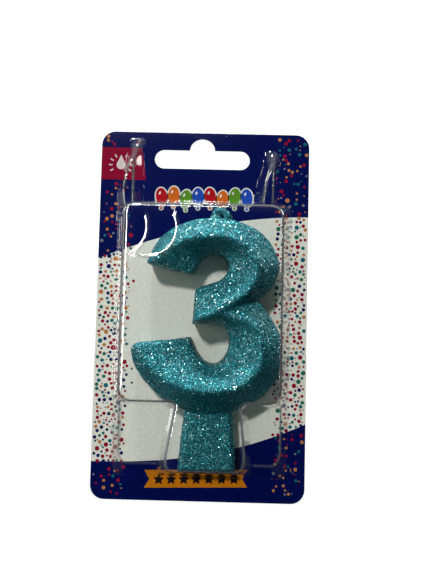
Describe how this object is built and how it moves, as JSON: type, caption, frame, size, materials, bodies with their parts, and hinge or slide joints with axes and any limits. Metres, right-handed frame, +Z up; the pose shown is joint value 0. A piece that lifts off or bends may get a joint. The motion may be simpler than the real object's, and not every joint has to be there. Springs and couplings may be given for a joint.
{
  "type": "number birthday candle in a blister pack",
  "caption": "Glittered wax numeral candle with a cake foot and folded wick, in a clear blister on a printed hanging card.",
  "frame": {"origin": "top of the hang slot's hump, at the card's printed face, where the shop peg bears", "axes": "+Z up as the pack hangs, +X to the right seen from the front, the printed face and the candle towards -Y"},
  "size_m": [0.07, 0.0175, 0.122],
  "materials": {
    "printed_card": "glossy printed board, navy and cream with coloured confetti dots",
    "clear_film": "clear glossy thermoformed film",
    "glitter_wax": "wax covered in fine teal glitter",
    "waxed_wick": "braided cotton dipped in teal wax and glitter"
  },
  "bodies": {
    "card": {"backing_card": "printed_card"},
    "clear_shell": {"blister": "clear_film"},
    "candle": {"numeral_candle": "glitter_wax", "wick": "waxed_wick"}
  },
  "joints": [
    {"name": "candle_take_out", "type": "slide", "parent": "card", "child": "candle", "axis": [0, -1, 0], "range_m": [0, 0.04]},
    {"name": "blister_peel", "type": "hinge", "parent": "card", "child": "clear_shell", "pos_m": [0, 0, 0.002], "axis": [-1, 0, 0], "range_deg": [0, 120]}
  ],
  "couplings": [
    {"joint": "blister_peel", "follows": "candle_take_out", "rad_per_m": 52}
  ]
}
